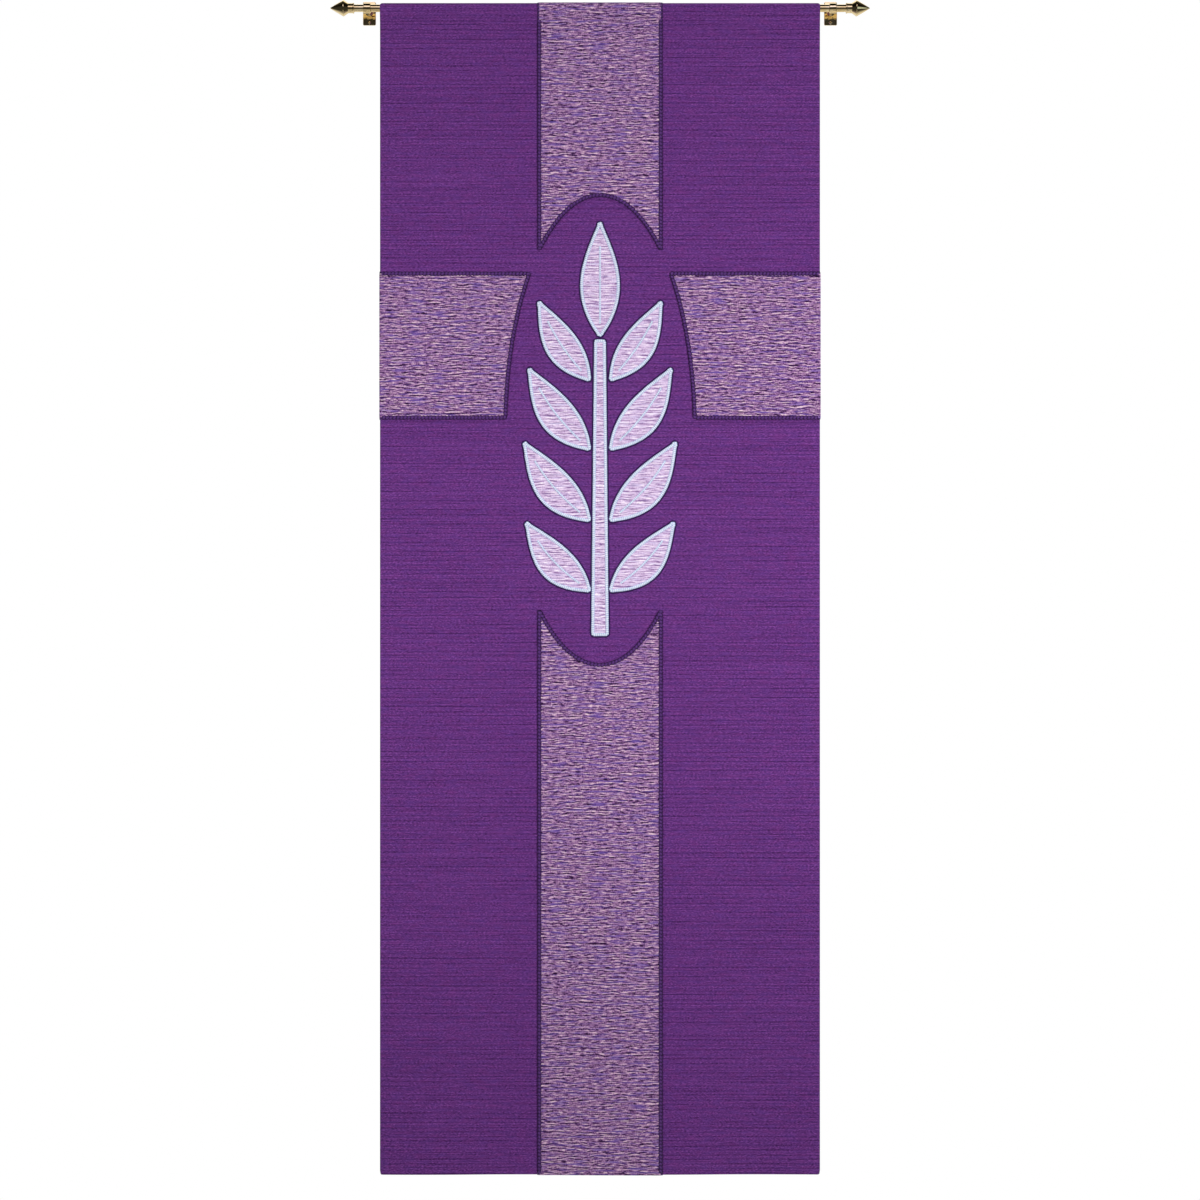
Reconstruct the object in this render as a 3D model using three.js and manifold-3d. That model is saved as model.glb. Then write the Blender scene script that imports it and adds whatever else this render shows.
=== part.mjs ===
// A tall hanging banner of ribbed purple cloth on a brass rod, with a cross and a leaf sprig sewn on.
// Millimetres, +Z up. The banner faces -Y, and the plates of the rod's brackets lie flat to +Y.
// Everything is laid out about the middle of the rod's axis. The last lines move the middle of the
// whole part's box to the origin.

import * as THREE from "three";
import { mergeVertices } from "three/addons/utils/BufferGeometryUtils.js";
import Module from "manifold-3d";

// Gap between neighbouring pieces.
const GAP = 0.3;

// Brass rod, three feet and a little more between its finials.
const ROD_RADIUS = 8;
const ROD_VISIBLE = 1022;
const ROD_IN_FINIAL = 9;

// Banner cloth: three feet by eight, hanging from a sleeve.
const CLOTH_WIDTH = 914;
const CLOTH_HEIGHT = 2434;
const CLOTH_THICK = 2.2;
const SLEEVE_DEPTH = 44;
const SLEEVE_FLAP = 14;
const SLEEVE_SLACK = 0.4;
const HEM_THICK = 1.4;
const SIDE_HEM = 41;
const FOOT_HEM = 52;
const HEM_STEP = 1.5;
const HEM_TOP_CLEAR = 12;
const CORNER_RADIUS = 5;
const LOWER_EDGE_CLOSED = 0.8;

// Pieces sewn on the face, and how far short of a hem's inner edge they end behind.
const SEWN_THICK = 1.2;
const SEWN_IN_HEM = 5;

// Cross: a wide upright and a wider beam that stop at a clear oval where they would meet.
const UPRIGHT_WIDTH = 252;
const BEAM_HEIGHT = 299;
const BEAM_DROP = 712;
const OVAL_DROP = 887;
const OVAL_HALF_WIDTH = 197;
const OVAL_HALF_HEIGHT = 488;

// Leaf sprig in the oval. Drops are below the top edge of the banner.
const STEM_FOOT = { drop: 1312, width: 30 };
const STEM_TOP = { drop: 702, width: 18 };
const LEAF_OFF_CENTRE = 23;
const LEAF_END_WIDTH = 5;
const LEAF_FULLEST = 0.85;
const TIP_LEAF = { side: 0, drop: 690, length: 232, width: 76, lean: 0, bow: 0 };
const LEAF_PAIRS = [
  { drop: 782, length: 190, width: 64, lean: 33, bow: 9 },
  { drop: 926, length: 206, width: 70, lean: 37, bow: 11 },
  { drop: 1074, length: 208, width: 72, lean: 40, bow: 12 },
  { drop: 1220, length: 190, width: 68, lean: 43, bow: 12 },
];

// Soft swells of the hanging cloth: place across, reach to each side, and how far the hem stands out.
const SWELLS = [
  { across: -372, reach: 170, out: 3.2 },
  { across: -150, reach: 190, out: -2.4 },
  { across: 96, reach: 210, out: 2.6 },
  { across: 322, reach: 180, out: -3.0 },
];

// Finial, measured from its mouth along the rod.
const FINIAL_COLLAR = { radius: 10.4, length: 12 };
const FINIAL_LIP = { radius: 11.2, length: 2.4 };
const FINIAL_RIDGE = { radius: 17, from: 21.4, to: 22.4 };
const FINIAL_LENGTH = 50;
const FINIAL_SWELL = 0.4;
const FINIAL_TIP_RADIUS = 1.2;
const FINIAL_SOCKET = 10;

// Brackets that carry the rod: a plate, a post and an eye, cast in one piece.
// The plate sits a little low, and the eye a little further out.
const BRACKET_OUT = 482;
const BRACKET_REACH = 45;
const PLATE = { width: 27, height: 49, thick: 3, corner: 2, bevel: 0.8, drop: 4 };
const POST = { radius: 5.2, flare: 9.5, flareLength: 9, sink: 1 };
const EYE = { radius: 11, length: 15, out: 2 };
const SCREW_PLACES = { top: 19, foot: -19 };
const SCREW_HOLE_RADIUS = 2.3;
const SCREW = { head: 3.4, dome: 1.9, shank: 1.8 };

// Fineness of the meshes.
const ROUND_SIDES = 24;
const SMALL_SIDES = 12;
const CURVE_STEPS = 4;
const SLEEVE_STEPS = { lean: 2, turn: 12, flap: 1 };
const EDGE_STEPS = 4;
const COLUMN_STEP = 48;
const ROW_STEP = 190;
const TOP_ARM_STEPS = 4;
const OVAL_STEPS = 10;
const STEM_STEPS = 4;
const LEAF_STEPS = { along: 12, across: 2 };
const SAME_CORNER = 1e-4;

const PAINT = {
  purpleCloth: { color: 0x65347c, roughness: 0.85, metalness: 0 },
  lavenderCloth: { color: 0x916c9a, roughness: 0.8, metalness: 0 },
  paleCloth: { color: 0xe1cde6, roughness: 0.75, metalness: 0 },
  brass: { color: 0xc9a04a, roughness: 0.2, metalness: 1 },
};

const wasm = await Module();
wasm.setup();

// Heights of the cloth's own lines about the rod's axis.
const FACE_RADIUS = ROD_RADIUS + GAP + CLOTH_THICK;
const HEM_Z = FACE_RADIUS - CLOTH_HEIGHT;
const SEAM_Z = -SLEEVE_DEPTH;
const SEAM_RISE = SEAM_Z - HEM_Z;
const HEM_TOP_RISE = SEAM_RISE - SLEEVE_FLAP - HEM_TOP_CLEAR;
const FACE_Y = -CLOTH_THICK - SLEEVE_SLACK / 2;
const HEM_RADIUS = (CLOTH_THICK + HEM_THICK) / 2;

// Turns a distance below the banner's top edge into a height above its lower edge.
const riseOf = (drop) => CLOTH_HEIGHT - drop;

// The face of the sleeve in (y, z): up from the seam, over the rod and down to the end of the flap.
function sleeveFace() {
  const reach = Math.hypot(FACE_Y, SEAM_Z);
  const tangent = Math.atan2(SEAM_Z, FACE_Y) - Math.acos(FACE_RADIUS / reach);
  const path = new THREE.Path();
  path.moveTo(FACE_Y, SEAM_Z);
  path.lineTo(FACE_RADIUS * Math.cos(tangent), FACE_RADIUS * Math.sin(tangent));
  path.absarc(0, 0, FACE_RADIUS, tangent, Math.PI - tangent, true);
  path.lineTo(-FACE_Y, SEAM_Z);
  path.lineTo(-FACE_Y, SEAM_Z - SLEEVE_FLAP);
  return path;
}

const SLEEVE = sleeveFace();
const SLEEVE_LENGTH = SLEEVE.getLength();

// Rises at which the sleeve is sampled, close together where it turns over the rod.
function sleeveRises() {
  const steps = [SLEEVE_STEPS.lean, SLEEVE_STEPS.turn, SLEEVE_STEPS.lean, SLEEVE_STEPS.flap];
  const rises = [];
  let start = SEAM_RISE;
  SLEEVE.curves.forEach((curve, index) => {
    const length = curve.getLength();
    for (let step = 1; step <= steps[index]; step += 1) {
      rises.push(start + (length * step) / steps[index]);
    }
    start += length;
  });
  return rises;
}

// How far the cloth stands off its plane: nothing at the sleeve, most at the hem.
function swellAt(x, z) {
  const drop = THREE.MathUtils.clamp((SEAM_Z - z) / SEAM_RISE, 0, 1);
  let out = 0;
  for (const swell of SWELLS) {
    const away = Math.min(Math.abs(x - swell.across) / swell.reach, 1);
    out += swell.out * 0.5 * (1 + Math.cos(Math.PI * away));
  }
  return -out * drop;
}

// A point of the face and its outward direction in (y, z), for a rise above the lower edge.
// A rise under the hem's radius turns under the lower edge and goes up the back of the hem.
function faceAt(rise) {
  const foot = HEM_Z + HEM_RADIUS;
  const turned = HEM_RADIUS - rise;
  if (turned > Math.PI * HEM_RADIUS) {
    const z = foot + turned - Math.PI * HEM_RADIUS;
    return { y: FACE_Y + 2 * HEM_RADIUS, z, outY: 1, outZ: 0 };
  }
  if (turned > 0) {
    const outY = -Math.cos(turned / HEM_RADIUS);
    const outZ = -Math.sin(turned / HEM_RADIUS);
    const y = FACE_Y + HEM_RADIUS * (1 + outY);
    return { y, z: foot + HEM_RADIUS * outZ, outY, outZ };
  }
  if (rise <= SEAM_RISE) {
    return { y: FACE_Y, z: HEM_Z + rise, outY: -1, outZ: 0 };
  }
  const share = Math.min((rise - SEAM_RISE) / SLEEVE_LENGTH, 1);
  const point = SLEEVE.getPoint(share);
  const ahead = SLEEVE.getTangent(share);
  return { y: point.x, z: point.y, outY: -ahead.y, outZ: ahead.x };
}

// A place across the cloth and its offset off the face, turned round the side edge past the edge.
function acrossAt(across, offset) {
  const flat = CLOTH_WIDTH / 2 - HEM_RADIUS;
  const side = Math.sign(across);
  const turned = Math.abs(across) - flat;
  if (turned <= 0) {
    return { x: across, out: offset };
  }
  if (turned <= Math.PI * HEM_RADIUS) {
    const angle = turned / HEM_RADIUS;
    const radius = HEM_RADIUS + offset;
    return { x: side * (flat + radius * Math.sin(angle)), out: radius * Math.cos(angle) - HEM_RADIUS };
  }
  const behind = turned - Math.PI * HEM_RADIUS;
  return { x: side * (flat - behind), out: -2 * HEM_RADIUS - offset };
}

// A point on or off the cloth's face, in the hanging banner.
function place(across, rise, offset) {
  const { x, out } = acrossAt(across, offset);
  const face = faceAt(rise);
  const z = face.z + face.outZ * out;
  return new THREE.Vector3(x, face.y + face.outY * out + swellAt(x, z), z);
}

// A closed solid through rings of equal length. Each ring goes along the face and back behind it, so
// that its points face each other from its two ends inward, and the first and last ring are closed.
function loft(rings) {
  const count = rings[0].length;
  const faces = [];
  for (let row = 0; row + 1 < rings.length; row += 1) {
    for (let k = 0; k < count; k += 1) {
      const a = row * count + k;
      const b = row * count + ((k + 1) % count);
      faces.push([a, b, b + count], [a, b + count, a + count]);
    }
  }
  const last = (rings.length - 1) * count;
  for (let k = 0; k + 1 < count / 2; k += 1) {
    const facing = count - 1 - k;
    faces.push([k, facing, k + 1], [k + 1, facing, facing - 1]);
    faces.push([last + k, last + k + 1, last + facing], [last + k + 1, last + facing - 1, last + facing]);
  }
  return facingOut(rings.flat(), faces);
}

// An indexed geometry whose faces all point out of the solid.
function facingOut(points, faces) {
  let volume = 0;
  for (const [a, b, c] of faces) {
    volume += points[a].dot(points[b].clone().cross(points[c]));
  }
  const turned = volume < 0 ? faces.map(([a, b, c]) => [a, c, b]) : faces;
  const geometry = new THREE.BufferGeometry().setFromPoints(points);
  geometry.setIndex(turned.flat());
  return geometry;
}

// A sewn-on sheet over rows and equal columns: at(row, share) gives a place across and a rise, with the
// share of the way across the row from 0 to 1.
function sewnSheet(rows, columns, at) {
  const shares = Array.from({ length: columns + 1 }, (_, column) => column / columns);
  const rings = rows.map((row) => {
    const line = (offset) => shares.map((share) => {
      const { across, rise } = at(row, share);
      return place(across, rise, offset);
    });
    return [...line(GAP + SEWN_THICK), ...line(GAP).reverse()];
  });
  return loft(rings);
}

// Whole numbers of equal steps from one value to another, without the first value.
function stepsTo(from, to, count) {
  return Array.from({ length: count }, (_, k) => THREE.MathUtils.lerp(from, to, (k + 1) / count));
}

// The cloth's depth behind its face, with the doubled cloth of the hems.
function clothDepth(x, rise) {
  const inSideHem = Math.abs(x) >= CLOTH_WIDTH / 2 - SIDE_HEM && rise < HEM_TOP_RISE;
  return inSideHem || rise < FOOT_HEM ? 2 * HEM_RADIUS : CLOTH_THICK;
}

// Places across at which the cloth is sampled, with a pair for the step of each side hem.
function clothColumns() {
  const inner = CLOTH_WIDTH / 2 - SIDE_HEM - HEM_STEP;
  const half = Math.ceil(inner / COLUMN_STEP);
  const middle = [-inner, ...stepsTo(-inner, inner, 2 * half)];
  return [-inner - HEM_STEP, ...middle, inner + HEM_STEP];
}

// How far the side edge draws in at the rounded corners of the banner.
function cornerInset(z) {
  const toEnd = Math.min(FACE_RADIUS - z, z - HEM_Z, CORNER_RADIUS);
  const inside = CORNER_RADIUS - Math.max(toEnd, 0);
  return CORNER_RADIUS - Math.sqrt(CORNER_RADIUS ** 2 - inside ** 2);
}

// A ring round the cloth at a rise. closing runs from 0 to 1 as the lower edge rounds shut.
function clothRing(rise, columns, closing = 0) {
  const face = faceAt(Math.max(rise, HEM_RADIUS));
  const lower = Math.min(rise - HEM_RADIUS, 0);
  const edgeDepth = clothDepth(CLOTH_WIDTH / 2, rise);
  const flat = CLOTH_WIDTH / 2 - HEM_RADIUS - cornerInset(face.z + lower);
  const corner = (x, depth) => {
    const closed = THREE.MathUtils.lerp(depth, edgeDepth / 2, closing);
    const z = face.z - face.outZ * closed + lower;
    return new THREE.Vector3(x, face.y - face.outY * closed + swellAt(x, z), z);
  };
  const edge = (side, step) => {
    const angle = (Math.PI * step) / EDGE_STEPS;
    const x = side * (flat + HEM_RADIUS * Math.sin(angle));
    return corner(x, (edgeDepth / 2) * (1 - Math.cos(angle)));
  };
  const turns = Array.from({ length: EDGE_STEPS + 1 }, (_, step) => step);
  const leftTurns = turns.toReversed().map((step) => edge(-1, step));
  const toFront = EDGE_STEPS / 2;
  return [
    ...leftTurns.slice(toFront),
    ...columns.map((x) => corner(x, 0)),
    ...turns.map((step) => edge(1, step)),
    ...columns.toReversed().map((x) => corner(x, clothDepth(x, rise))),
    ...leftTurns.slice(0, toFront),
  ];
}

function bannerCloth() {
  const columns = clothColumns();
  const eighth = Math.PI / 4;
  const hemTop = FOOT_HEM + HEM_STEP;
  const rows = Math.ceil((HEM_TOP_RISE - hemTop) / ROW_STEP);
  const rises = [
    HEM_RADIUS,
    CORNER_RADIUS,
    FOOT_HEM - HEM_STEP,
    hemTop,
    ...stepsTo(hemTop, HEM_TOP_RISE - HEM_STEP, rows),
    HEM_TOP_RISE,
    SEAM_RISE,
    ...sleeveRises(),
  ];
  return loft([
    clothRing(0, columns, LOWER_EDGE_CLOSED),
    clothRing(HEM_RADIUS * (1 - Math.sin(eighth)), columns, 1 - Math.cos(eighth)),
    ...rises.map((rise) => clothRing(rise, columns)),
  ]);
}

// Half the height of the clear oval at a place across, or half its width at a rise.
function ovalHalfHeight(across) {
  return OVAL_HALF_HEIGHT * Math.sqrt(1 - (across / OVAL_HALF_WIDTH) ** 2);
}

function ovalHalfWidth(rise) {
  return OVAL_HALF_WIDTH * Math.sqrt(1 - ((rise - riseOf(OVAL_DROP)) / OVAL_HALF_HEIGHT) ** 2);
}

// The upright's top arm: from the oval up the face, over the sleeve and down its back.
function topArm() {
  const onFace = [0, ...stepsTo(0, 1, TOP_ARM_STEPS)].map((share) => ({ share }));
  const overSleeve = sleeveRises().map((rise) => ({ rise }));
  return sewnSheet([...onFace, ...overSleeve], OVAL_STEPS, (row, column) => {
    const across = UPRIGHT_WIDTH * (column - 0.5);
    const foot = riseOf(OVAL_DROP) + ovalHalfHeight(across);
    return { across, rise: row.rise ?? THREE.MathUtils.lerp(foot, SEAM_RISE, row.share) };
  });
}

// The upright's foot: from the oval down the face, round the lower edge and up behind the hem.
function footArm() {
  const turn = Math.PI * HEM_RADIUS;
  const behind = HEM_RADIUS - turn - (FOOT_HEM - HEM_RADIUS - SEWN_IN_HEM);
  const faceSteps = Math.ceil(riseOf(OVAL_DROP + OVAL_HALF_HEIGHT) / ROW_STEP);
  const onFace = [0, ...stepsTo(0, 1, faceSteps)].map((share) => ({ share }));
  const turned = [...stepsTo(HEM_RADIUS, HEM_RADIUS - turn, EDGE_STEPS), behind].map((rise) => ({ rise }));
  return sewnSheet([...onFace, ...turned], OVAL_STEPS, (row, column) => {
    const across = UPRIGHT_WIDTH * (column - 0.5);
    const top = riseOf(OVAL_DROP) - ovalHalfHeight(across);
    return { across, rise: row.rise ?? THREE.MathUtils.lerp(top, HEM_RADIUS, row.share) };
  });
}

// One arm of the beam: from the oval out over the face, round the side edge and in behind the hem.
function sideArm(side) {
  const flat = CLOTH_WIDTH / 2 - HEM_RADIUS;
  const turn = Math.PI * HEM_RADIUS;
  const behind = flat + turn + SIDE_HEM - HEM_RADIUS - SEWN_IN_HEM;
  const faceSteps = Math.ceil((flat - OVAL_HALF_WIDTH) / COLUMN_STEP);
  const onFace = [0, ...stepsTo(0, 1, faceSteps)].map((share) => ({ share }));
  const turned = [...stepsTo(flat, flat + turn, EDGE_STEPS), behind].map((across) => ({ across }));
  return sewnSheet([...onFace, ...turned], OVAL_STEPS, (row, column) => {
    const rise = riseOf(BEAM_DROP) + BEAM_HEIGHT * (column - 0.5);
    const across = row.across ?? THREE.MathUtils.lerp(ovalHalfWidth(rise), flat, row.share);
    return { across: side * across, rise };
  });
}

// The tapered stem of the sprig.
function sprigStem() {
  const rows = [0, ...stepsTo(0, 1, STEM_STEPS)];
  return sewnSheet(rows, LEAF_STEPS.across, (row, column) => {
    const width = THREE.MathUtils.lerp(STEM_FOOT.width, STEM_TOP.width, row);
    const drop = THREE.MathUtils.lerp(STEM_FOOT.drop, STEM_TOP.drop, row);
    return { across: width * (column - 0.5), rise: riseOf(drop) };
  });
}

// A pointed leaf that leans out from its foot and bows a little upward.
function leaf({ side, drop, length, width, lean, bow }) {
  const rows = [0, ...stepsTo(0, 1, LEAF_STEPS.along)];
  const angle = THREE.MathUtils.degToRad(lean) * side;
  const along = new THREE.Vector2(Math.sin(angle), Math.cos(angle));
  const beside = new THREE.Vector2(along.y, -along.x);
  const foot = new THREE.Vector2(side * LEAF_OFF_CENTRE, riseOf(drop));
  return sewnSheet(rows, LEAF_STEPS.across, (row, column) => {
    const full = width * Math.sin(Math.PI * row ** LEAF_FULLEST);
    const sideways = Math.max(full, LEAF_END_WIDTH) * (column - 0.5);
    const bowed = side * bow * Math.sin(Math.PI * row);
    const point = foot.clone().addScaledVector(along, length * row).addScaledVector(beside, sideways + bowed);
    return { across: point.x, rise: point.y };
  });
}

// A turned spear finial on the X axis with its mouth at x = 0, its tip out to +X and a socket for the rod.
function finialShape() {
  const socket = ROD_RADIUS + GAP;
  const profile = [
    new THREE.Vector2(0, FINIAL_SOCKET),
    new THREE.Vector2(socket, FINIAL_SOCKET),
    new THREE.Vector2(socket, 0),
    new THREE.Vector2(FINIAL_LIP.radius, 0),
    new THREE.Vector2(FINIAL_LIP.radius, FINIAL_LIP.length),
    new THREE.Vector2(FINIAL_COLLAR.radius, FINIAL_LIP.length),
    new THREE.Vector2(FINIAL_COLLAR.radius, FINIAL_COLLAR.length),
    new THREE.Vector2(FINIAL_RIDGE.radius, FINIAL_RIDGE.from),
    new THREE.Vector2(FINIAL_RIDGE.radius, FINIAL_RIDGE.to),
  ];
  const ridge = profile.at(-1);
  const tip = new THREE.Vector2(FINIAL_TIP_RADIUS, FINIAL_LENGTH - FINIAL_TIP_RADIUS);
  const middle = ridge.clone().lerp(tip, 0.5).add(new THREE.Vector2(FINIAL_SWELL, FINIAL_SWELL));
  const cone = new THREE.QuadraticBezierCurve(ridge, middle, tip).getPoints(CURVE_STEPS);
  profile.push(...cone.slice(1), new THREE.Vector2(0, FINIAL_LENGTH));
  return new THREE.LatheGeometry(profile, ROUND_SIDES).rotateZ(-Math.PI / 2);
}

// Geometry made ready for joining and cutting: positions alone, with shared corners.
function asSolid(geometry) {
  const bare = geometry.clone();
  bare.deleteAttribute("normal");
  bare.deleteAttribute("uv");
  const merged = mergeVertices(bare, SAME_CORNER);
  const vertProperties = merged.attributes.position.array;
  const triVerts = Uint32Array.from(merged.index.array);
  return new wasm.Manifold(new wasm.Mesh({ numProp: 3, vertProperties, triVerts }));
}

function fromSolid(solid) {
  const { vertProperties, triVerts } = solid.getMesh();
  const geometry = new THREE.BufferGeometry();
  geometry.setAttribute("position", new THREE.BufferAttribute(vertProperties, 3));
  geometry.setIndex(new THREE.BufferAttribute(triVerts, 1));
  return geometry;
}

// The bracket's plate, upright behind the rod, with its screw holes and a flat back.
function bracketPlate() {
  const right = PLATE.width / 2 - PLATE.bevel - PLATE.corner;
  const top = PLATE.height / 2 - PLATE.bevel - PLATE.corner;
  const outline = new THREE.Shape();
  outline.absarc(right, top, PLATE.corner, 0, Math.PI / 2);
  outline.absarc(-right, top, PLATE.corner, Math.PI / 2, Math.PI);
  outline.absarc(-right, -top, PLATE.corner, Math.PI, 1.5 * Math.PI);
  outline.absarc(right, -top, PLATE.corner, 1.5 * Math.PI, 2 * Math.PI);
  outline.closePath();
  for (const height of Object.values(SCREW_PLACES)) {
    const hole = new THREE.Path();
    hole.absarc(0, height, SCREW_HOLE_RADIUS + PLATE.bevel, 0, 2 * Math.PI, true);
    outline.holes.push(hole);
  }
  const plate = new THREE.ExtrudeGeometry(outline, {
    depth: PLATE.thick - 2 * PLATE.bevel,
    curveSegments: CURVE_STEPS,
    bevelThickness: PLATE.bevel,
    bevelSize: PLATE.bevel,
    bevelSegments: 1,
  });
  return plate.rotateX(Math.PI / 2).translate(0, BRACKET_REACH - PLATE.bevel, -PLATE.drop);
}

// The turned post from the plate to the middle of the eye, flared where it meets the plate.
function bracketPost() {
  const root = BRACKET_REACH - PLATE.thick;
  const flare = new THREE.QuadraticBezierCurve(
    new THREE.Vector2(POST.radius, root - POST.flareLength),
    new THREE.Vector2(POST.radius, root),
    new THREE.Vector2(POST.flare, root),
  );
  const profile = [
    new THREE.Vector2(0, 0),
    new THREE.Vector2(POST.radius, 0),
    ...flare.getPoints(CURVE_STEPS),
    new THREE.Vector2(POST.flare, root + POST.sink),
    new THREE.Vector2(0, root + POST.sink),
  ];
  return new THREE.LatheGeometry(profile, ROUND_SIDES);
}

// A round bar along X, centred on the rod's axis.
function barAlongX(radius, length) {
  return new THREE.CylinderGeometry(radius, radius, length, ROUND_SIDES).rotateZ(Math.PI / 2);
}

function bracketShape(side) {
  const eye = asSolid(barAlongX(EYE.radius, EYE.length).translate(side * EYE.out, 0, 0));
  const bore = asSolid(barAlongX(ROD_RADIUS + GAP, 2 * EYE.length));
  const casting = asSolid(bracketPlate()).add(asSolid(bracketPost())).add(eye);
  return fromSolid(casting.subtract(bore));
}

// A round-headed screw that points out to -Y from the front of a plate.
function screwShape() {
  const root = GAP - PLATE.thick;
  const dome = new THREE.EllipseCurve(0, GAP, SCREW.head, SCREW.dome, 0, Math.PI / 2);
  const profile = [
    new THREE.Vector2(0, root),
    new THREE.Vector2(SCREW.shank, root),
    new THREE.Vector2(SCREW.shank, GAP),
    ...dome.getPoints(CURVE_STEPS).slice(0, -1),
    new THREE.Vector2(0, GAP + SCREW.dome),
  ];
  return new THREE.LatheGeometry(profile, SMALL_SIDES).rotateX(Math.PI);
}

const hanging = new THREE.Group();

function addPiece(name, geometry, paint) {
  const mesh = new THREE.Mesh(geometry, new THREE.MeshStandardMaterial(paint));
  mesh.name = name;
  hanging.add(mesh);
  return mesh;
}

const SIDES = { left: -1, right: 1 };

addPiece("banner_cloth", bannerCloth(), PAINT.purpleCloth);
addPiece("cross_arm_top", topArm(), PAINT.lavenderCloth);
addPiece("cross_arm_foot", footArm(), PAINT.lavenderCloth);
addPiece("sprig_stem", sprigStem(), PAINT.paleCloth);
addPiece("leaf_tip", leaf(TIP_LEAF), PAINT.paleCloth);
addPiece("rod", barAlongX(ROD_RADIUS, ROD_VISIBLE + 2 * ROD_IN_FINIAL), PAINT.brass);

for (const [name, side] of Object.entries(SIDES)) {
  addPiece(`cross_arm_${name}`, sideArm(side), PAINT.lavenderCloth);
  LEAF_PAIRS.forEach((pair, index) => {
    addPiece(`leaf_${name}_${index + 1}`, leaf({ side, ...pair }), PAINT.paleCloth);
  });

  const finial = addPiece(`finial_${name}`, finialShape(), PAINT.brass);
  finial.position.x = (side * ROD_VISIBLE) / 2;
  finial.rotation.z = side > 0 ? 0 : Math.PI;

  const bracket = addPiece(`bracket_${name}`, bracketShape(side), PAINT.brass);
  bracket.position.x = side * BRACKET_OUT;

  for (const [end, height] of Object.entries(SCREW_PLACES)) {
    const screw = addPiece(`screw_${name}_${end}`, screwShape(), PAINT.brass);
    screw.position.set(side * BRACKET_OUT, BRACKET_REACH - PLATE.thick, height - PLATE.drop);
  }
}

const middle = new THREE.Box3().setFromObject(hanging).getCenter(new THREE.Vector3());
hanging.position.copy(middle).negate();

const banner = new THREE.Group();
banner.add(hanging);

export default banner;
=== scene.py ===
import math

import bpy
import numpy as np
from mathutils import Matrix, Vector


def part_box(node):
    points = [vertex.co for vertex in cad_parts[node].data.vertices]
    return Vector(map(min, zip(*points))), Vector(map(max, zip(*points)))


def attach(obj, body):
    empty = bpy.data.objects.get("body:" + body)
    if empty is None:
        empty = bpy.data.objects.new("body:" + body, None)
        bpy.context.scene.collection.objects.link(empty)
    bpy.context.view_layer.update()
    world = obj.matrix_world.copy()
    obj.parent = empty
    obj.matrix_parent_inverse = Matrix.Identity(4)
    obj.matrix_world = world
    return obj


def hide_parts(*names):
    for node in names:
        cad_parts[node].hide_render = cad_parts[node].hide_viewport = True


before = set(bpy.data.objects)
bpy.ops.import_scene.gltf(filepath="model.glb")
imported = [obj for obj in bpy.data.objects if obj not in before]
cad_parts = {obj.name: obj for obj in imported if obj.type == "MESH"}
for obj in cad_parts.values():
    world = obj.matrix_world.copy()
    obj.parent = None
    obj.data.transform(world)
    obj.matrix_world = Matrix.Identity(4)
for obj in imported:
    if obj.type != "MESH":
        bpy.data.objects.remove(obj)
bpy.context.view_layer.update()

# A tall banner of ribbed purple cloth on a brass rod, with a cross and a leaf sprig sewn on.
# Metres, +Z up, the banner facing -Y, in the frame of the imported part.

MM = 0.001
GAP = 0.3 * MM

# The rod's axis, which the cloth's own sizes are measured from.
rod_low, rod_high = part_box("rod")
ROD_HALF = rod_high.x
ROD_RADIUS = (rod_high.z - rod_low.z) / 2
ROD_Y = (rod_low.y + rod_high.y) / 2
ROD_Z = (rod_low.z + rod_high.z) / 2

# Banner cloth, its sleeve and its hems.
cloth_low, cloth_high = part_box("banner_cloth")
CLOTH_HALF = 457 * MM
CLOTH_HEIGHT = cloth_high.z - cloth_low.z
CLOTH_THICK = 2.2 * MM
SLEEVE_DEPTH = 44 * MM
SLEEVE_FLAP = 14 * MM
HEM_RADIUS = 1.8 * MM
SIDE_HEM = 41 * MM
FOOT_HEM = 52 * MM
HEM_STEP = 1.5 * MM
HEM_TOP_CLEAR = 12 * MM
HEM_SHOWS = 0.22 * MM
HEM_SHOWS_OVER = 4 * MM
CORNER_RADIUS = 5 * MM
FACE_RADIUS = ROD_RADIUS + GAP + CLOTH_THICK
FACE_Y = -2.4 * MM
HEM_Z = FACE_RADIUS - CLOTH_HEIGHT
SEAM_Z = -SLEEVE_DEPTH
SEAM_RISE = SEAM_Z - HEM_Z
HEM_TOP_RISE = SEAM_RISE - SLEEVE_FLAP - HEM_TOP_CLEAR

# Soft swells of the hanging cloth: place across, reach to each side, and how far the hem stands out.
SWELLS = ((-372, 170, 3.2), (-150, 190, -2.4), (96, 210, 2.6), (322, 180, -3.0))

# Pieces sewn on the face.
SEWN_THICK = 1.2 * MM
SEWN_TOP = GAP + SEWN_THICK
SEWN_IN_HEM = 5 * MM

# Cross: four arms that stop at a clear oval. Drops are below the top edge of the banner.
UPRIGHT_HALF = 126 * MM
BEAM_HALF = 149.5 * MM
BEAM_DROP = 712 * MM
OVAL_DROP = 887 * MM
OVAL_HALF_WIDTH = 197 * MM
OVAL_HALF_HEIGHT = 488 * MM

# Leaf sprig: each leaf's drop, length, width, lean in degrees and bow.
STEM_FOOT_DROP, STEM_FOOT_WIDTH = 1312 * MM, 30 * MM
STEM_TOP_DROP, STEM_TOP_WIDTH = 702 * MM, 18 * MM
LEAF_OFF_CENTRE = 23 * MM
LEAF_END_WIDTH = 5 * MM
LEAF_FULLEST = 0.85
TIP_LEAF = (690, 232, 76, 0, 0)
LEAF_PAIRS = (
    (782, 190, 64, 33, 9),
    (926, 206, 70, 37, 11),
    (1074, 208, 72, 40, 12),
    (1220, 190, 68, 43, 12),
)

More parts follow.
